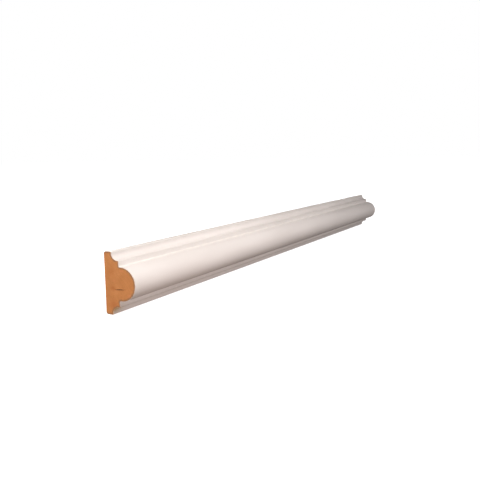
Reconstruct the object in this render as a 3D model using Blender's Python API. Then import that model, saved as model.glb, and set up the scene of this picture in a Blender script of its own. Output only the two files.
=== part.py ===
"""Straight length of white-primed wooden wall moulding, at its real size in metres.

One section is drawn and run along the length. At the top and at the bottom a thin nib lies
against the wall. A cove sweeps out from each nib to a flat fillet, and between the two fillets
a half-round bead stands out on short square cheeks. The lower half mirrors the upper half, and
both ends are cut square.

The origin is the middle of the flat back. +X runs along the length, the back lies at y = 0,
the moulded front faces -Y and +Z is up.
"""

from itertools import chain
from math import cos, dist, radians, sin

import bmesh
import bpy

NAME = "moulding"

# Length of the piece
LENGTH = 0.575

# How far each member stands out from the one behind it, starting at the wall
NIB_DEPTH = 0.0065
COVE_DEPTH = 0.0061
CHEEK_DEPTH = 0.00185

# Half-round bead, centred on the middle line
BEAD_RADIUS = 0.0120

# Heights of the members from the bead outwards, the same above and below it
FILLET_HEIGHT = 0.0044
COVE_HEIGHT = 0.0044
NIB_HEIGHT = 0.0017

# Easing of the back's arrises, of the nib's front corner and of the fillet's corner
BACK_ROUNDING = 0.0017
NIB_ROUNDING = 0.0008
FILLET_ROUNDING = 0.0004

# Straight steps that stand for each round stretch
BEAD_STEPS = 24
COVE_STEPS = 12
ROUNDING_STEPS = 4

# Points nearer than this are one point, and edges turning more than this stay sharp
MERGE_DISTANCE = 0.00001
SHARP_ANGLE = radians(30)

PRIMER_COLOUR = (0.90, 0.86, 0.81, 1.0)
PRIMER_ROUGHNESS = 0.5


def clear_scene():
    """Remove every object that the file opened with."""
    for item in list(bpy.data.objects):
        bpy.data.objects.remove(item, do_unlink=True)


def arc(centre, radii, start, end, steps):
    """Points on an elliptical arc. Angles are in degrees, from the depth axis to the height axis."""
    points = []
    for step in range(steps + 1):
        angle = radians(start + (end - start) * step / steps)
        depth = centre[0] + radii[0] * cos(angle)
        height = centre[1] + radii[1] * sin(angle)
        points.append((depth, height))
    return points


def joined(*stretches):
    """Points of several stretches as one run, with an end that two stretches share kept once."""
    points = []
    for point in chain(*stretches):
        if not points or dist(points[-1], point) > MERGE_DISTANCE:
            points.append(point)
    return points


def upper_half():
    """Section above the middle line as (depth, height), from the back's top to the bead's nose."""
    fillet_face = NIB_DEPTH + COVE_DEPTH
    bead_centre = fillet_face + CHEEK_DEPTH
    fillet_top = BEAD_RADIUS + FILLET_HEIGHT
    cove_top = fillet_top + COVE_HEIGHT
    top = cove_top + NIB_HEIGHT

    back_round = min(BACK_ROUNDING, NIB_DEPTH / 2)
    nib_round = min(NIB_ROUNDING, NIB_HEIGHT, NIB_DEPTH / 2)
    fillet_round = min(FILLET_ROUNDING, FILLET_HEIGHT / 2, COVE_DEPTH / 2)

    back_corner = arc(
        (back_round, top - back_round), (back_round, back_round), 180, 90, ROUNDING_STEPS
    )
    front_corner = arc(
        (NIB_DEPTH - nib_round, top - nib_round), (nib_round, nib_round), 90, 0, ROUNDING_STEPS
    )
    cove = arc(
        (fillet_face - fillet_round, cove_top),
        (COVE_DEPTH - fillet_round, COVE_HEIGHT),
        180,
        270,
        COVE_STEPS,
    )
    fillet_corner = arc(
        (fillet_face - fillet_round, fillet_top - fillet_round),
        (fillet_round, fillet_round),
        90,
        0,
        ROUNDING_STEPS,
    )
    cheek_foot = [(fillet_face, BEAD_RADIUS)]
    bead = arc((bead_centre, 0.0), (BEAD_RADIUS, BEAD_RADIUS), 90, 0, BEAD_STEPS)
    return joined(back_corner, front_corner, cove, fillet_corner, cheek_foot, bead)


def section():
    """Closed outline of the whole section: the upper half, then its mirror image from nose to back."""
    upper = upper_half()
    lower = [(depth, -height) for depth, height in reversed(upper[:-1])]
    return upper + lower


def run_along_length(outline, collection):
    """Extrude the outline along X, as a flat filled curve turned upright against the wall."""
    drawing = bpy.data.curves.new(f"{NAME}_section", type="CURVE")
    drawing.dimensions = "2D"
    drawing.fill_mode = "BOTH"
    drawing.extrude = LENGTH / 2

    spline = drawing.splines.new("POLY")
    spline.points.add(len(outline) - 1)
    for point, (depth, height) in zip(spline.points, outline):
        point.co = (depth, height, 0.0, 1.0)
    spline.use_cyclic_u = True

    blank = bpy.data.objects.new(f"{NAME}_blank", drawing)
    blank.rotation_euler = (radians(90), 0.0, radians(-90))
    collection.objects.link(blank)
    return blank


def as_mesh(blank, collection):
    """Turn the extruded curve into one closed mesh with smooth members and crisp edges."""
    bpy.context.view_layer.update()
    evaluated = blank.evaluated_get(bpy.context.evaluated_depsgraph_get())
    mesh = bpy.data.meshes.new_from_object(evaluated)
    mesh.name = NAME

    closed = bmesh.new()
    closed.from_mesh(mesh)
    bmesh.ops.remove_doubles(closed, verts=closed.verts, dist=MERGE_DISTANCE)
    bmesh.ops.recalc_face_normals(closed, faces=closed.faces)
    closed.to_mesh(mesh)
    closed.free()

    mesh.shade_smooth()
    mesh.set_sharp_from_angle(angle=SHARP_ANGLE)

    piece = bpy.data.objects.new(NAME, mesh)
    piece.matrix_world = blank.matrix_world
    collection.objects.link(piece)
    bpy.data.objects.remove(blank, do_unlink=True)
    return piece


def primed_wood():
    """Matt off-white primer on planed softwood."""
    material = bpy.data.materials.new("primed_wood")
    material.use_nodes = True
    shader = material.node_tree.nodes["Principled BSDF"]
    shader.inputs["Base Color"].default_value = PRIMER_COLOUR
    shader.inputs["Roughness"].default_value = PRIMER_ROUGHNESS
    shader.inputs["Metallic"].default_value = 0.0
    return material


def main():
    clear_scene()
    collection = bpy.data.collections.new(f"wall_{NAME}")
    bpy.context.scene.collection.children.link(collection)

    blank = run_along_length(section(), collection)
    piece = as_mesh(blank, collection)
    piece.data.materials.clear()
    piece.data.materials.append(primed_wood())


main()
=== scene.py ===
"""Looks of a white-primed wooden wall moulding: fine mesh, primer, bare wood, camera and studio.

Metres throughout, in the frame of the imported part: +X runs along the length, the flat back lies
at y = 0, the moulded front faces -Y and +Z is up. The near end of the piece is the one at -X.
A point of the section is a pair: its depth out from the wall and its height above the middle.
"""

from math import ceil, cos, dist, pi, radians, sin

import bmesh
import bpy
import numpy as np
from mathutils import Matrix, Vector, noise
from mathutils.geometry import delaunay_2d_cdt


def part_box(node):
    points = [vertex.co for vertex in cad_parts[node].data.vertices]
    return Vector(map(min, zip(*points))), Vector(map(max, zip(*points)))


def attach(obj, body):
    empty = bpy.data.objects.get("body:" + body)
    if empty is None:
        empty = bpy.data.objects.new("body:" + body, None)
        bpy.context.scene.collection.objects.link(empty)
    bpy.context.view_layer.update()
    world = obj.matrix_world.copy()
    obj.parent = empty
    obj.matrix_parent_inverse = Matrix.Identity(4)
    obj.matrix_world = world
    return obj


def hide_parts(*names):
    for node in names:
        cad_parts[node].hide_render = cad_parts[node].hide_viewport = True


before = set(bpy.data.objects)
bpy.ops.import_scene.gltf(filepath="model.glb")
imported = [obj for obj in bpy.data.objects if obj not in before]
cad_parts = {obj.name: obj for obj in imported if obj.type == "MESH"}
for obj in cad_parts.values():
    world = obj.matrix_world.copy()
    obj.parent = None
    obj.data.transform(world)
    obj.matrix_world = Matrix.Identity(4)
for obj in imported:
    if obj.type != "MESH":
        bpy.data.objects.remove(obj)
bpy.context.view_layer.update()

NODE = "moulding"
BODY = "root"
PIECE = "moulding_fine"

# Order of the piece's materials: primer and end grain
PRIMED = 0
SAWN = 1

MM = 0.001

cad_low, cad_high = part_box(NODE)

# The section's members, as depth out from the wall and height away from the middle line. The
# bead and the fillet take what the solid's own depth and height leave.
HALF_LENGTH = (cad_high[0] - cad_low[0]) / 2
HALF_HEIGHT = (cad_high[2] - cad_low[2]) / 2
NIB_DEPTH = 6.5 * MM
COVE_DEPTH = 6.1 * MM
CHEEK_DEPTH = 1.85 * MM
NIB_HEIGHT = 1.7 * MM
COVE_HEIGHT = 4.4 * MM
FILLET_FACE = NIB_DEPTH + COVE_DEPTH
BEAD_CENTRE = FILLET_FACE + CHEEK_DEPTH
BEAD_RADIUS = -cad_low[1] - BEAD_CENTRE
COVE_TOP = HALF_HEIGHT - NIB_HEIGHT
FILLET_TOP = COVE_TOP - COVE_HEIGHT

# Rounding of the back's arrises, of the nib, of the fillet's corner, and of the paint that pools
# beside the bead
BACK_ROUNDING = 1.7 * MM
NIB_ROUNDING = 0.8 * MM
FILLET_ROUNDING = 0.4 * MM
POOL_ROUNDING = 0.85 * MM

# Spacing of mesh points on the front, on the back, along the length and over the sawn ends
FRONT_SPACING = 0.42 * MM
BACK_SPACING = 1.5 * MM
STATION_SPACING = 2.2 * MM
END_SPACING = 0.42 * MM
ARC_STEPS = 4

# A sawn end's own points keep this share of their spacing away from its rim
END_MARGIN = 0.6

# Points nearer than this are one point, and edges that turn more than this stay sharp
MERGE_DISTANCE = 0.01 * MM
NET_TOLERANCE = 0.001 * MM
SHARP_ANGLE = radians(40)

# Easing of the edges at the sawn ends, and the first stations in from each end
END_EASING = 0.12 * MM
END_STATIONS = (END_EASING, 0.45 * MM, 1.0 * MM, 1.8 * MM)

# Soft unevenness of the planed and primed faces: its greatest depth, and a broad and a close wave,
# each with its length along the piece, its length around the section and its share of the depth
WAVE_DEPTH = 0.05 * MM
BROAD_WAVE = (90 * MM, 9 * MM)
BROAD_SHARE = 0.35
CLOSE_WAVE = (22.5 * MM, 3 * MM)
CLOSE_SHARE = 0.15

# Layers of the noise, so that no two forms share a pattern
BROAD_LAYER = 0.0
CLOSE_LAYER = 7.0
CRACK_LAYER = 3.0
SAW_BEND_LAYER = 0.0
SAW_FADE_LAYER = 5.0

# Drying crack in the near end, from its inner to its outer tip. It has blunt tips and narrows
# towards the outer one.
CRACK_START = (9.5 * MM, -4.1 * MM)
CRACK_END = (17.6 * MM, -3.5 * MM)
CRACK_WIDTH = 0.55 * MM
CRACK_DEPTH = 1.6 * MM
CRACK_STEPS = 26
CRACK_BLUNTNESS = 0.4
CRACK_INNER_SIZE = 1.25
CRACK_OUTER_SIZE = 0.5

# The crack's own section, from lip to lip: shares of its width and of its depth
CRACK_SECTION = ((-0.5, 0.0), (-0.38, 1.0), (0.38, 1.0), (0.5, 0.0))

# How far the crack strays from its line, and how many times
CRACK_WANDER = 0.16 * MM
CRACK_BENDS = 9

# The crack's floor is painted dark as shade, fully so below this share of its depth
CRACK_SHADE_DEPTH = 2 / 3

# Stains in the near end, and one patch of painted shade at the back's top corner: middle and half
# size in depth and height, in mm, and how much darker the wood is there. Below 0 it is lighter and
# redder.
STAINS_AND_SHADE = (
    (7.2, -3.2, 2.9, 1.9, 0.75),
    (7.5, -15.4, 5.2, 4.0, 0.76),
    (8.2, 2.2, 2.4, 1.3, -0.5),
    (6.0, 8.6, 4.5, 4.2, 0.52),
    (15.0, 9.9, 2.4, 1.1, -0.6),
    # Painted shade: a dark patch at the back's top corner, where the primer's edge lies in shade
    (0.6, 21.6, 1.6, 2.0, 0.8),
    (22.0, -8.2, 3.0, 2.4, -0.6),
)

# Ridges that the blade left across the sawn ends: their depth and spacing, their slant, how far
# and over what length they bend, and how much they fade in places. They run out near the rim.
SAW_DEPTH = 0.025 * MM
SAW_SPACING = 2.6 * MM
SAW_SLANT = 0.12
SAW_BEND = 0.4
SAW_BEND_LENGTH = 9 * MM
SAW_FADING = 0.4
SAW_MARGIN = 0.6 * MM

# Brown patch on the lower cove behind the near end, rougher than the primer: middle of the patch,
# its half size across the section, and how far it runs along the length
COVE_PATCH_PLACE = (8.6 * MM, -18.2 * MM)
COVE_PATCH_REACH = 3.6 * MM
COVE_PATCH_RUN = 8.0 * MM

# How far from an arris its primer is worn
WEAR_REACH = 1.1 * MM

# The primer wraps around the back's arrises. It gives way to bare wood between two depths out from
# the wall, and on the back at a ragged line with its own height, blur and wander.
WRAP_DEPTHS = (0.15 * MM, 0.35 * MM)
WRAP_HEIGHT = HALF_HEIGHT + 0.2 * MM
WRAP_BLUR = 0.5 * MM
WRAP_WANDER = 3.0 * MM

# Growth rings: the pith that they stand round, behind the back and below the piece, their spacing
# and how far they stray
PITH = (0.0, 0.055, -0.062)
RING_SPACING = 2.3 * MM
RING_WANDER = 5.5 * MM

# Grain of the wood and of the primer, in cycles a metre along X, Y and Z
RING_GRAIN = (2.0, 75.0, 75.0)
RING_FADE_GRAIN = (200.0, 200.0, 200.0)
BLOTCH_GRAIN = (120.0, 120.0, 120.0)
PORE_GRAIN = (2200.0, 2600.0, 2600.0)
RIM_GRAIN = (500.0, 500.0, 500.0)
BLADE_GRAIN = (0.0, 160.0, 2400.0)
FIBRE_GRAIN = (40.0, 1500.0, 1500.0)
CLOUD_GRAIN = (14.0, 70.0, 70.0)
PEEL_GRAIN = (1400.0, 1400.0, 1400.0)
RAGGED_GRAIN = (70.0, 500.0, 500.0)
SPECKLE_GRAIN = (600.0, 1200.0, 1200.0)
CHATTER_GRAIN = 95.0

# Relief that is too fine for the mesh
END_RELIEF = 0.05 * MM
PRIMER_RELIEF = 0.035 * MM

# Colours of the end grain, of the planed back and of the primer
END_WOOD = (0.63, 0.245, 0.070)
END_WOOD_DARK = (0.565, 0.213, 0.058)
END_WOOD_PALE = (0.685, 0.282, 0.091)
END_RING = (0.44, 0.150, 0.040)
END_PORE = (0.36, 0.13, 0.035)
STAIN_AND_SHADE_DARK = (0.43, 0.105, 0.012)
STAIN_PALE = (0.76, 0.265, 0.10)
EDGE_RIM_DARK = (0.26, 0.14, 0.07)
# Painted shade: the crack's floor takes a near-black colour for the shade deep inside it
CRACK_SHADE_COLOUR = (0.05, 0.018, 0.008)
BACK_WOOD_DARK = (0.60, 0.33, 0.15)
BACK_WOOD_PALE = (0.72, 0.44, 0.22)
BACK_RING = (0.50, 0.22, 0.075)
PRIMER_DARK = (0.80, 0.755, 0.71)
PRIMER_PALE = (0.84, 0.80, 0.755)
PRIMER_WORN = (0.70, 0.65, 0.60)
COVE_PATCH_BROWN = (0.58, 0.40, 0.19)

# Camera: where it stands, how it is turned in degrees, its lens in mm and its range
CAMERA_PLACE = (-0.6030, -0.2814, 0.0893)
CAMERA_YAW = 28.746
CAMERA_PITCH = 8.334
CAMERA_ROLL = -0.787
CAMERA_LENS = 45.018
SENSOR_WIDTH = 36.0
CAMERA_RANGE = (0.01, 60.0)

# Points on the piece's back that lamps face
MIDDLE = (0.0, 0.0, 0.0)
NEAR_END = (-HALF_LENGTH, 0.0, 0.0)
FAR_END = (HALF_LENGTH, 0.0, 0.0)

# Soft square lamps: name, place, the point that they face, size, power and colour
LAMPS = (
    ("key", (-0.30, -0.28, 0.40), (-0.26, 0.0, 0.0), 0.30, 1.76, (1.0, 0.935, 0.91)),
    ("overhead", (-0.15, -0.15, 0.55), (-0.15, 0.0, 0.0), 0.5, 1.26, (1.0, 0.94, 0.965)),
    ("rear", (-0.28, 0.12, 0.40), (-0.28, 0.0, 0.0), 0.3, 0.20, (0.98, 1.0, 0.89)),
    ("front", (0.0, -1.30, 0.10), MIDDLE, 0.8, 6.0, (0.98, 0.965, 1.0)),
    ("low", (-0.30, -0.80, -0.50), MIDDLE, 0.8, 0.98, (1.0, 0.77, 0.676)),
    ("under", (-0.40, -0.25, -0.30), (-0.20, 0.0, 0.0), 0.3, 0.345, (1.0, 0.665, 0.54)),
    ("near_end", (-1.20, 0.25, -0.03), NEAR_END, 0.25, 6.9, (1.0, 0.97, 0.94)),
    ("far_end", (1.20, 0.25, -0.03), FAR_END, 0.25, 6.0, (1.0, 1.0, 1.0)),
    ("back", (0.45, 1.10, 0.25), MIDDLE, 0.8, 10.0, (0.92, 0.96, 1.0)),
)

# Floor just under the piece, and the glow that reaches the piece from all round
FLOOR_HEIGHT = -HALF_HEIGHT - 0.3 * MM
FLOOR_RADIUS = 8.0
FLOOR_SIDES = 96
FLOOR_GREY = (0.9, 0.9, 0.9, 1.0)
GLOW = (0.02, 0.02, 0.02, 1.0)
WHITE = (1.0, 1.0, 1.0, 1.0)


# Section outline

def line(start, end, spacing):
    """Evenly spaced points from start to end, both included."""
    steps = max(1, ceil(dist(start, end) / spacing))
    shares = [step / steps for step in range(steps + 1)]
    return [tuple(a + (b - a) * share for a, b in zip(start, end)) for share in shares]


def arc(centre, radii, start, end, spacing):
    """Points on an elliptical arc. Angles are in degrees, from the depth axis to the height axis."""
    sweep = radians(end - start)
    steps = max(ARC_STEPS, ceil(abs(sweep) * max(radii) / spacing))
    angles = [radians(start) + sweep * step / steps for step in range(steps + 1)]
    return [(centre[0] + radii[0] * cos(a), centre[1] + radii[1] * sin(a)) for a in angles]


def joined(*stretches):
    """Points of several stretches as one run, with an end that two stretches share kept once."""
    points = []
    for stretch in stretches:
        for point in stretch:
            if not points or dist(points[-1], point) > MERGE_DISTANCE:
                points.append(point)
    return points


def upper_front():
    """From the back's top corner over the nib, cove, fillet and bead to the bead's nose."""
    back, nib, fillet, pool = BACK_ROUNDING, NIB_ROUNDING, FILLET_ROUNDING, POOL_ROUNDING
    top_line = HALF_HEIGHT - nib
    corner = FILLET_FACE - fillet
    return joined(
        arc((back, HALF_HEIGHT - back), (back, back), 180, 90, FRONT_SPACING),
        line((back, HALF_HEIGHT), (NIB_DEPTH - nib, HALF_HEIGHT), FRONT_SPACING),
        arc((NIB_DEPTH - nib, top_line), (nib, nib), 90, 0, FRONT_SPACING),
        line((NIB_DEPTH, top_line), (NIB_DEPTH, COVE_TOP), FRONT_SPACING),
        arc((corner, COVE_TOP), (corner - NIB_DEPTH, COVE_HEIGHT), 180, 270, FRONT_SPACING),
        arc((corner, FILLET_TOP - fillet), (fillet, fillet), 90, 0, FRONT_SPACING),
        line((FILLET_FACE, FILLET_TOP - fillet), (FILLET_FACE, BEAD_RADIUS + pool), FRONT_SPACING),
        arc((FILLET_FACE + pool, BEAD_RADIUS + pool), (pool, pool), 180, 270, FRONT_SPACING),
        line((FILLET_FACE + pool, BEAD_RADIUS), (BEAD_CENTRE, BEAD_RADIUS), FRONT_SPACING),
        arc((BEAD_CENTRE, 0.0), (BEAD_RADIUS, BEAD_RADIUS), 90, 0, FRONT_SPACING),
    )


def section_outline():
    """Closed clockwise outline, with depth to the right: the front downwards, then the back."""
    upper = upper_front()
    lower = [(depth, -height) for depth, height in reversed(upper[:-1])]
    back = line(lower[-1], upper[0], BACK_SPACING)[1:-1]
    return np.array(upper + lower + back)


# Measures on the section

def outward(points):
    """Unit normals that point out of a clockwise closed outline."""
    tangent = np.roll(points, -1, axis=0) - np.roll(points, 1, axis=0)
    normal = np.stack([-tangent[:, 1], tangent[:, 0]], axis=1)
    return normal / np.linalg.norm(normal, axis=1, keepdims=True)


def outline_pieces(outline):
    """Both ends of each straight piece of a closed outline."""
    return zip(outline, np.roll(outline, -1, axis=0))


def distance_to(points, start, end):
    """Distance of each point from the straight piece between start and end."""
    start, along = np.asarray(start), np.asarray(end) - np.asarray(start)
    share = np.clip((points - start) @ along / (along @ along), 0, 1)
    return np.linalg.norm(points - start - share[:, None] * along, axis=1)


def rim_distance(points, outline):
    """Distance of each point from the outline."""
    return np.min([distance_to(points, *piece) for piece in outline_pieces(outline)], axis=0)


def painted_distance(points, outline):
    """Distance of each point from the painted part of an outline, which is all but the back."""
    painted = [
        (start, end)
        for start, end in outline_pieces(outline)
        if max(start[0], end[0]) > BACK_ROUNDING / 4
    ]
    return np.min([distance_to(points, start, end) for start, end in painted], axis=0)


def inside(points, outline):
    """True for each point that lies within the closed outline."""
    found = np.zeros(len(points), dtype=bool)
    for (start_depth, start_height), (end_depth, end_height) in outline_pieces(outline):
        if start_height == end_height:
            continue
        crosses = (end_height > points[:, 1]) != (start_height > points[:, 1])
        share = (points[:, 1] - start_height) / (end_height - start_height)
        crossing = start_depth + share * (end_depth - start_depth)
        found ^= crosses & (points[:, 0] < crossing)
    return found


# How strongly each finish shows at a point of the section

def wear(points):
    """1 at the arrises of the nibs and fillets, above and below the middle, fading to 0."""
    arrises = [(NIB_DEPTH, HALF_HEIGHT), (FILLET_FACE, FILLET_TOP), (0.0, HALF_HEIGHT)]
    level = np.zeros(len(points))
    for depth, height in arrises:
        for side in (height, -height):
            away = np.linalg.norm(points - (depth, side), axis=1) / WEAR_REACH
            level = np.maximum(level, np.exp(-(away**2)))
    return level


def cove_patch(points, place):
    """How strongly the brown patch on the lower cove shows at each point of a ring, from 0 to 1."""
    away = np.linalg.norm(points - COVE_PATCH_PLACE, axis=1) / COVE_PATCH_REACH
    along = (place + HALF_LENGTH) / COVE_PATCH_RUN
    return np.exp(-(away**2) - along**2)


def stains_and_shade(points):
    """How dark each point of the near end is stained, with one patch of painted shade at the back's
    top corner. Below 0 it is lighter and redder.
    """
    level = np.zeros(len(points))
    for depth, height, half_depth, half_height, strength in STAINS_AND_SHADE:
        away = (points / MM - (depth, height)) / (half_depth, half_height)
        level += strength * np.exp(-((away**2).sum(axis=1)))
    return level


def saw_marks(points):
    """Uneven ridges of the blade across a sawn end, as shares of their depth under the plane."""
    marks = []
    for depth, height in points:
        bend = noise.noise(Vector((depth, height, SAW_BEND_LAYER)) / SAW_BEND_LENGTH)
        sweep = (height + depth * SAW_SLANT) / SAW_SPACING + SAW_BEND * bend
        fade = 1 - noise.noise(Vector((sweep, 0.0, SAW_FADE_LAYER)))
        marks.append(0.5 + 0.5 * sin(2 * pi * sweep) * (1 - SAW_FADING * fade))
    return np.array(marks)


# Fine mesh

def stations():
    """Places along the length, close together at the sawn ends."""
    inner = [HALF_LENGTH - gap for gap in reversed(END_STATIONS)]
    middle = np.linspace(-inner[0], inner[0], ceil(2 * inner[0] / STATION_SPACING) + 1)
    return [-HALF_LENGTH, *[-x for x in reversed(inner)], *middle[1:-1], *inner, HALF_LENGTH]


def wave(place, girth, lengths, layer):
    """Smooth noise of given lengths along the piece and around the section."""
    return noise.noise(Vector((place / lengths[0], girth / lengths[1], layer)))


def unevenness(place, girth):
    """How far the surface lies under its ideal face, within WAVE_DEPTH."""
    broad = wave(place, girth, BROAD_WAVE, BROAD_LAYER)
    close = wave(place, girth, CLOSE_WAVE, CLOSE_LAYER)
    return WAVE_DEPTH * (0.5 + BROAD_SHARE * broad + CLOSE_SHARE * close)


def shell_vertices(outline):
    """Vertices of every station's ring, in order along the length."""
    normals = outward(outline)
    steps = np.linalg.norm(np.diff(outline, axis=0), axis=1)
    girth = np.concatenate([[0.0], np.cumsum(steps)])
    vertices = []
    for place in stations():
        easing = END_EASING if abs(place) == HALF_LENGTH else 0.0
        sunk = np.array([easing + unevenness(place, along) for along in girth])
        ring = outline - normals * sunk[:, None]
        vertices += [(place, -depth, height) for depth, height in ring]
    return vertices


def shell_faces(count):
    """Faces between neighbouring rings of the given count of vertices."""
    faces = []
    for ring in range(len(stations()) - 1):
        here, ahead = ring * count, (ring + 1) * count
        for i in range(count):
            j = (i + 1) % count
            faces.append((here + i, ahead + i, ahead + j, here + j))
    return faces


def shell_levels(outline):
    """The mesh's own numbers at every vertex of the shell, by name. The finishes read them:
    wear of the arrises, painted shade in the crack, stains with one patch of painted shade, mm from
    the painted rim, mm from a sawn end, and a brown patch on the lower cove."""
    places = stations()
    count = len(places) * len(outline)
    return {
        "arris": list(wear(outline)) * len(places),
        "crack": [0.0] * count,
        "stain_and_shade": [0.0] * count,
        "rim": list(painted_distance(outline, outline) / MM) * len(places),
        "sawn": [(HALF_LENGTH - abs(place)) / MM for place in places for _ in outline],
        "cove_patch": [level for place in places for level in cove_patch(outline, place)],
    }


def crack_points():
    """Points of the crack's lips and floor from tip to tip, and the depth of each."""
    start, end = np.array(CRACK_START), np.array(CRACK_END)
    along = (end - start) / np.linalg.norm(end - start)
    across = np.array([-along[1], along[0]])
    points, depths = [], []
    for step in range(1, CRACK_STEPS):
        share = step / CRACK_STEPS
        narrowing = CRACK_INNER_SIZE + (CRACK_OUTER_SIZE - CRACK_INNER_SIZE) * share
        size = sin(pi * share) ** CRACK_BLUNTNESS * narrowing
        stray = CRACK_WANDER * noise.noise(Vector((share * CRACK_BENDS, 0.0, CRACK_LAYER)))
        middle = start + (end - start) * share + across * stray
        for width_share, depth_share in CRACK_SECTION:
            points.append(middle + across * width_share * CRACK_WIDTH * size)
            depths.append(CRACK_DEPTH * size * depth_share)
    return np.array(points), np.array(depths)


def end_grid(ring):
    """Staggered grid of points within a ring, a little in from its rim."""
    low, high = ring.min(axis=0), ring.max(axis=0)
    across = np.arange(low[0], high[0], END_SPACING)
    upwards = np.arange(low[1], high[1], END_SPACING * 3**0.5 / 2)
    shifts = [END_SPACING / 2 * (row % 2) for row in range(len(upwards))]
    grid = np.array([(x + shift, y) for y, shift in zip(upwards, shifts) for x in across])
    grid = grid[inside(grid, ring)]
    return grid[rim_distance(grid, ring) > END_SPACING * END_MARGIN]


def end_net(ring, cracked):
    """Flat net of triangles that closes a ring: points, triangles and the crack's depth at each
    point. The ring's own points come first."""
    grid = end_grid(ring)
    extra, extra_depths = np.empty((0, 2)), np.empty(0)
    if cracked:
        extra, extra_depths = crack_points()
        grid = grid[distance_to(grid, CRACK_START, CRACK_END) > CRACK_WIDTH]

    count = len(ring)
    flat = [Vector(point) for point in np.concatenate([ring, extra, grid])]
    rim = [(i, (i + 1) % count) for i in range(count)]
    found, _, triangles, sources, _, _ = delaunay_2d_cdt(flat, rim, [], 1, NET_TOLERANCE)

    depths = np.zeros(len(found))
    for index, origins in enumerate(sources):
        for origin in origins:
            if count <= origin < count + len(extra):
                depths[index] = extra_depths[origin - count]
    return np.array([tuple(point) for point in found]), triangles, depths


def close_end(side, first, count, vertices, levels):
    """Triangles that close the ring which starts at the first vertex. Side is -1 at the near end
    and 1 at the far one. The net's own vertices and their levels are added to the lists."""
    ring = np.array([(-y, z) for _, y, z in vertices[first : first + count]])
    near = side < 0
    points, triangles, crack = end_net(ring, cracked=near)
    rim = rim_distance(points, ring)
    sunk = SAW_DEPTH * saw_marks(points) * np.clip(rim / SAW_MARGIN, 0, 1) + crack
    blank = np.zeros(len(points))
    own_levels = {
        "arris": blank,
        # Painted shade in the crack, darker with depth
        "crack": np.minimum(1.0, crack / (CRACK_DEPTH * CRACK_SHADE_DEPTH)),
        "stain_and_shade": stains_and_shade(points) if near else blank,
        "rim": painted_distance(points, ring) / MM,
        "sawn": blank,
        "cove_patch": blank,
    }

    numbers = []
    for index, (depth, height) in enumerate(points):
        if rim[index] < MERGE_DISTANCE:
            away = np.linalg.norm(ring - (depth, height), axis=1)
            numbers.append(first + int(np.argmin(away)))
            continue
        numbers.append(len(vertices))
        vertices.append((side * (HALF_LENGTH - sunk[index]), -depth, height))
        for name, values in levels.items():
            values.append(own_levels[name][index])

    faces = [tuple(numbers[i] for i in triangle) for triangle in triangles]
    return [face for face in faces if len(set(face)) == 3]


def build_moulding():
    """One closed mesh: the shell along the length and the two sawn ends."""
    outline = section_outline()
    count = len(outline)
    vertices = shell_vertices(outline)
    levels = shell_levels(outline)
    last_ring = len(vertices) - count

    faces = shell_faces(count)
    end_faces = close_end(-1, 0, count, vertices, levels)
    end_faces += close_end(1, last_ring, count, vertices, levels)
    slots = [PRIMED] * len(faces) + [SAWN] * len(end_faces)

    mesh = bpy.data.meshes.new(PIECE)
    mesh.from_pydata(vertices, [], faces + end_faces)
    mesh.polygons.foreach_set("material_index", slots)
    for name, values in levels.items():
        mesh.attributes.new(name, "FLOAT", "POINT").data.foreach_set("value", values)

    closed = bmesh.new()
    closed.from_mesh(mesh)
    bmesh.ops.recalc_face_normals(closed, faces=closed.faces)
    closed.to_mesh(mesh)
    closed.free()
    mesh.shade_smooth()
    mesh.set_sharp_from_angle(angle=SHARP_ANGLE)

    piece = bpy.data.objects.new(PIECE, mesh)
    bpy.context.scene.collection.objects.link(piece)
    return piece


# Shader building blocks

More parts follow.
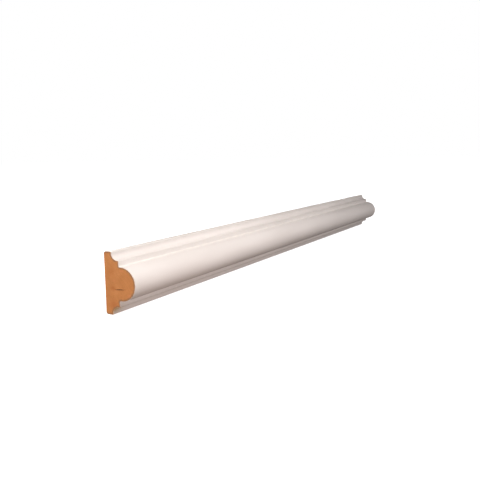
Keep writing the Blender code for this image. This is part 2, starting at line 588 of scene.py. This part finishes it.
class Shader:
    """A material's node tree, with short calls for the nodes that the finishes use.

    A level is a plain number or the output of a node, most often from 0 to 1.
    """

    def __init__(self, name):
        self.material = bpy.data.materials.new(name)
        self.material.use_nodes = True
        self.tree = self.material.node_tree
        self.place = self.tree.nodes.new("ShaderNodeTexCoord").outputs["Object"]

    def feed(self, socket, value):
        """Link an output to a socket, or set the socket's own value."""
        if isinstance(value, bpy.types.NodeSocket):
            self.tree.links.new(value, socket)
        elif socket.type == "RGBA":
            socket.default_value = (*value, 1.0)
        else:
            socket.default_value = value

    def node(self, kind, inputs, **settings):
        """New node with the given settings and inputs."""
        made = self.tree.nodes.new(kind)
        for key, value in settings.items():
            setattr(made, key, value)
        for key, value in inputs.items():
            self.feed(made.inputs[key], value)
        return made

    def maths(self, operation, a, b=0.0, clamp=False):
        """Level worked out from one or two levels."""
        inputs = {0: a, 1: b}
        made = self.node("ShaderNodeMath", inputs, operation=operation, use_clamp=clamp)
        return made.outputs[0]

    def plus(self, a, b):
        """Sum of two levels."""
        return self.maths("ADD", a, b)

    def minus(self, a, b):
        """First level less the second."""
        return self.maths("SUBTRACT", a, b)

    def times(self, a, b):
        """Product of two levels."""
        return self.maths("MULTIPLY", a, b)

    def vector(self, operation, a, b):
        """Vector maths node that works on two places."""
        return self.node("ShaderNodeVectorMath", {0: a, 1: b}, operation=operation)

    def scaled(self, place, scale):
        """A place scaled by its own number along each axis."""
        return self.vector("MULTIPLY", place, scale).outputs["Vector"]

    def grain(self, scale, detail=3.0, roughness=0.5):
        """Noise from 0 to 1 with its own scale along each axis, in cycles a metre."""
        place = self.scaled(self.place, scale)
        inputs = {"Vector": place, "Scale": 1.0, "Detail": detail, "Roughness": roughness}
        return self.node("ShaderNodeTexNoise", inputs).outputs["Fac"]

    def ramp(self, level, stops):
        """Colour by level. Stops are pairs of a level and a colour."""
        made = self.node("ShaderNodeValToRGB", {"Fac": level})
        elements = made.color_ramp.elements
        while len(elements) < len(stops):
            elements.new(1.0)
        for element, (position, colour) in zip(elements, stops):
            element.position = position
            element.color = (*colour, 1.0)
        return made.outputs["Color"]

    def curve(self, level, stops):
        """Level by level, in straight runs between stops, which are pairs of levels."""
        return self.ramp(level, [(position, (height,) * 3) for position, height in stops])

    def remap(self, level, low, high, to_low, to_high):
        """Map a level from one range to another, smoothly and held at the ends."""
        inputs = {
            "Value": level,
            "From Min": low,
            "From Max": high,
            "To Min": to_low,
            "To Max": to_high,
        }
        made = self.node("ShaderNodeMapRange", inputs, interpolation_type="SMOOTHSTEP")
        return made.outputs["Result"]

    def mix(self, share, a, b):
        """Colour a where the share is 0, and colour b where it is 1. The colour sockets of a Mix
        node are inputs 6 and 7 and output 2."""
        made = self.node("ShaderNodeMix", {"Factor": share, 6: a, 7: b}, data_type="RGBA")
        return made.outputs[2]

    def level(self, name):
        """One of the mesh's own numbers, such as how near a point is to an arris."""
        return self.node("ShaderNodeAttribute", {}, attribute_name=name).outputs["Fac"]

    def finish(self, colour, roughness, relief, relief_depth):
        """Set the surface's colour, roughness and fine relief, and return the material."""
        inputs = {"Height": relief, "Distance": relief_depth, "Strength": 1.0}
        normal = self.node("ShaderNodeBump", inputs).outputs["Normal"]
        surface = self.tree.nodes["Principled BSDF"]
        self.feed(surface.inputs["Base Color"], colour)
        self.feed(surface.inputs["Roughness"], roughness)
        self.feed(surface.inputs["Normal"], normal)
        return self.material


# Materials

def ring_phase(shader):
    """Where a point lies between two growth rings, from 0 to 1, with the rings' slow wander."""
    offset = shader.vector("SUBTRACT", shader.place, PITH).outputs["Vector"]
    flat = shader.scaled(offset, (0.0, 1.0, 1.0))
    reach = shader.vector("LENGTH", flat, (0.0, 0.0, 0.0)).outputs["Value"]
    stray = shader.times(shader.grain(RING_GRAIN, detail=2.0), RING_WANDER)
    return shader.maths("FRACT", shader.maths("DIVIDE", shader.plus(reach, stray), RING_SPACING))


def stained_and_shaded(shader, wood):
    """Wood with the near end's stains and its patch of painted shade."""
    stain_and_shade = shader.level("stain_and_shade")
    dark = shader.remap(stain_and_shade, 0.0, 1.0, 0.0, 0.6)
    pale = shader.remap(stain_and_shade, -1.0, 0.0, 0.6, 0.0)
    return shader.mix(pale, shader.mix(dark, wood, STAIN_AND_SHADE_DARK), STAIN_PALE)


def end_grain_material():
    """Bare sawn end grain: growth rings, pores, blade marks, stains with a patch of painted shade at
    the back's top corner, a darker rim along the painted edge, and a drying crack painted dark as
    shade."""
    shader = Shader("end_grain")
    blotch = shader.grain(BLOTCH_GRAIN)
    wood = shader.ramp(blotch, [(0.25, END_WOOD_DARK), (0.55, END_WOOD), (0.8, END_WOOD_PALE)])

    late_wood = [(0.0, 0.0), (0.55, 0.12), (0.9, 1.0), (0.97, 0.7), (1.0, 0.0)]
    ring = shader.curve(ring_phase(shader), late_wood)
    strength = shader.remap(shader.grain(RING_FADE_GRAIN, detail=1.0), 0.35, 0.65, 0.07, 0.20)
    ringed = shader.mix(shader.times(ring, strength), wood, END_RING)

    pores = shader.grain(PORE_GRAIN, detail=2.0, roughness=0.7)
    pore = shader.remap(pores, 0.52, 0.70, 0.0, 0.3)
    blemished = stained_and_shaded(shader, shader.mix(pore, ringed, END_PORE))

    rim_wander = shader.remap(shader.grain(RIM_GRAIN, detail=2.0), 0.3, 0.7, -0.25, 0.45)
    rim = shader.remap(shader.minus(shader.level("rim"), rim_wander), 0.1, 1.4, 0.7, 0.0)
    rimmed = shader.mix(rim, blemished, EDGE_RIM_DARK)
    # Painted shade: the crack is coloured dark towards its floor
    cracked = shader.mix(shader.level("crack"), rimmed, CRACK_SHADE_COLOUR)

    blade = shader.times(shader.grain(BLADE_GRAIN, detail=2.0), 0.6)
    relief = shader.plus(blade, shader.times(pores, 0.7))
    roughness = shader.remap(pores, 0.3, 0.7, 0.68, 0.85)
    return shader.finish(cracked, roughness, relief, END_RELIEF)


def planed_wood(shader, fibres):
    """Colour of the bare planed back."""
    wood = shader.ramp(fibres, [(0.3, BACK_WOOD_DARK), (0.7, BACK_WOOD_PALE)])
    late_wood = [(0.0, 0.0), (0.6, 0.15), (0.92, 1.0), (1.0, 0.0)]
    ring = shader.curve(ring_phase(shader), late_wood)
    return shader.mix(shader.times(ring, 0.45), wood, BACK_RING)


def unpainted_back(shader):
    """1 on the back within the ragged line where the primer ends, and 0 elsewhere."""
    place = shader.node("ShaderNodeSeparateXYZ", {0: shader.place}).outputs
    bare_depth, painted_depth = WRAP_DEPTHS
    on_back = shader.remap(place["Y"], -painted_depth, -bare_depth, 0.0, 1.0)
    wander = shader.times(shader.grain(RAGGED_GRAIN), WRAP_WANDER)
    ragged = shader.plus(shader.maths("ABSOLUTE", place["Z"]), wander)
    within = shader.remap(ragged, WRAP_HEIGHT - WRAP_BLUR, WRAP_HEIGHT, 1.0, 0.0)
    return shader.times(on_back, within)


def primer_material():
    """White primer over planed wood, worn at the arrises and frayed at the sawn ends, with a brown
    patch on the lower cove, and bare planed wood on the back."""
    shader = Shader("primed_wood")
    fibres = shader.grain(FIBRE_GRAIN, detail=4.0, roughness=0.6)
    cloud = shader.grain(CLOUD_GRAIN)
    speckle = shader.grain(SPECKLE_GRAIN, detail=2.0)
    bare = planed_wood(shader, fibres)

    primer = shader.ramp(cloud, [(0.3, PRIMER_DARK), (0.7, PRIMER_PALE)])
    thin = shader.times(shader.level("arris"), shader.remap(fibres, 0.35, 0.65, 0.05, 0.2))
    worn = shader.mix(thin, primer, PRIMER_WORN)

    fray = shader.remap(speckle, 0.35, 0.65, -0.1, 0.3)
    frayed = shader.remap(shader.minus(shader.level("sawn"), fray), 0.0, 0.6, 0.6, 0.0)
    patch_ragging = shader.remap(speckle, 0.35, 0.65, 0.9, 1.4)
    cove_patch_share = shader.maths("MULTIPLY", shader.level("cove_patch"), patch_ragging, clamp=True)
    frayed_and_patched = shader.mix(cove_patch_share, shader.mix(frayed, worn, bare), COVE_PATCH_BROWN)

    unpainted = unpainted_back(shader)
    colour = shader.mix(unpainted, frayed_and_patched, bare)
    bare_back_and_patch = shader.maths("MAXIMUM", unpainted, cove_patch_share)
    sheen = shader.remap(cloud, 0.3, 0.7, 0.44, 0.56)
    roughness = shader.plus(sheen, shader.times(bare_back_and_patch, 0.2))

    waves = {"Vector": shader.place, "Scale": CHATTER_GRAIN, "Distortion": 0.6, "Detail": 1.0}
    chatter = shader.node("ShaderNodeTexWave", waves, bands_direction="X").outputs["Fac"]
    coarse = shader.plus(shader.times(fibres, 0.8), shader.times(chatter, 0.12))
    peel = shader.times(shader.grain(PEEL_GRAIN, detail=2.0), 0.3)
    return shader.finish(colour, roughness, shader.plus(coarse, peel), PRIMER_RELIEF)


# Studio

def camera_matrix():
    """Level heading, then pitch down, then roll, as a camera that looks along its own -Z."""
    yaw, pitch, roll = radians(CAMERA_YAW), radians(CAMERA_PITCH), radians(CAMERA_ROLL)
    ahead = Vector((cos(yaw) * cos(pitch), sin(yaw) * cos(pitch), -sin(pitch)))
    right = Vector((sin(yaw), -cos(yaw), 0.0))
    up = right.cross(ahead)
    rolled_right = right * cos(roll) + up * sin(roll)
    rolled_up = up * cos(roll) - right * sin(roll)
    turn = Matrix((rolled_right, rolled_up, -ahead)).transposed().to_4x4()
    return Matrix.Translation(CAMERA_PLACE) @ turn


def add_camera():
    """Camera at the photo's place and angle."""
    lens = bpy.data.cameras.new("camera")
    lens.lens = CAMERA_LENS
    lens.sensor_width = SENSOR_WIDTH
    lens.clip_start, lens.clip_end = CAMERA_RANGE
    camera = bpy.data.objects.new("camera", lens)
    camera.matrix_world = camera_matrix()
    bpy.context.scene.collection.objects.link(camera)
    bpy.context.scene.camera = camera


def add_light(name, place, target, size, power, colour):
    """A soft square lamp that faces its target and isn't seen itself."""
    lamp = bpy.data.lights.new(name, "AREA")
    lamp.shape = "SQUARE"
    lamp.size = size
    lamp.energy = power
    lamp.color = colour
    light = bpy.data.objects.new(name, lamp)
    light.location = place
    light.rotation_euler = (Vector(target) - Vector(place)).to_track_quat("-Z", "Y").to_euler()
    light.visible_camera = False
    bpy.context.scene.collection.objects.link(light)


def floor_material():
    """Pale and as bright as the backdrop."""
    pale = bpy.data.materials.new("studio_floor")
    pale.use_nodes = True
    surface = pale.node_tree.nodes["Principled BSDF"]
    surface.inputs["Base Color"].default_value = FLOOR_GREY
    surface.inputs["Roughness"].default_value = 1.0
    surface.inputs["Emission Color"].default_value = WHITE
    surface.inputs["Emission Strength"].default_value = 1.0
    return pale


def add_floor():
    """A wide pale disc just under the piece, which throws no light or shadow on it."""
    disc = bmesh.new()
    bmesh.ops.create_circle(disc, cap_ends=True, segments=FLOOR_SIDES, radius=FLOOR_RADIUS)
    mesh = bpy.data.meshes.new("studio_floor")
    disc.to_mesh(mesh)
    disc.free()
    mesh.materials.append(floor_material())

    floor = bpy.data.objects.new("studio_floor", mesh)
    floor.location = (0.0, 0.0, FLOOR_HEIGHT)
    floor.visible_diffuse = False
    floor.visible_glossy = False
    floor.visible_shadow = False
    bpy.context.scene.collection.objects.link(floor)


def add_backdrop():
    """White to the eye, and a dim even glow all round for the piece."""
    world = bpy.data.worlds.new("studio")
    bpy.context.scene.world = world
    world.use_nodes = True
    tree = world.node_tree
    dim = tree.nodes["Background"]
    dim.inputs["Color"].default_value = GLOW
    white = tree.nodes.new("ShaderNodeBackground")
    white.inputs["Color"].default_value = WHITE
    seen = tree.nodes.new("ShaderNodeLightPath")
    choose = tree.nodes.new("ShaderNodeMixShader")
    tree.links.new(seen.outputs["Is Camera Ray"], choose.inputs["Fac"])
    tree.links.new(dim.outputs[0], choose.inputs[1])
    tree.links.new(white.outputs[0], choose.inputs[2])
    tree.links.new(choose.outputs[0], tree.nodes["World Output"].inputs["Surface"])


def add_studio():
    """Plain colour view, backdrop, floor and lamps."""
    view = bpy.context.scene.view_settings
    view.view_transform = "Standard"
    view.look = "None"
    add_backdrop()
    add_floor()
    for lamp in LAMPS:
        add_light(*lamp)


add_camera()
add_studio()

moulding = build_moulding()
moulding.data.materials.append(primer_material())
moulding.data.materials.append(end_grain_material())
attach(moulding, BODY)
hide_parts(NODE)
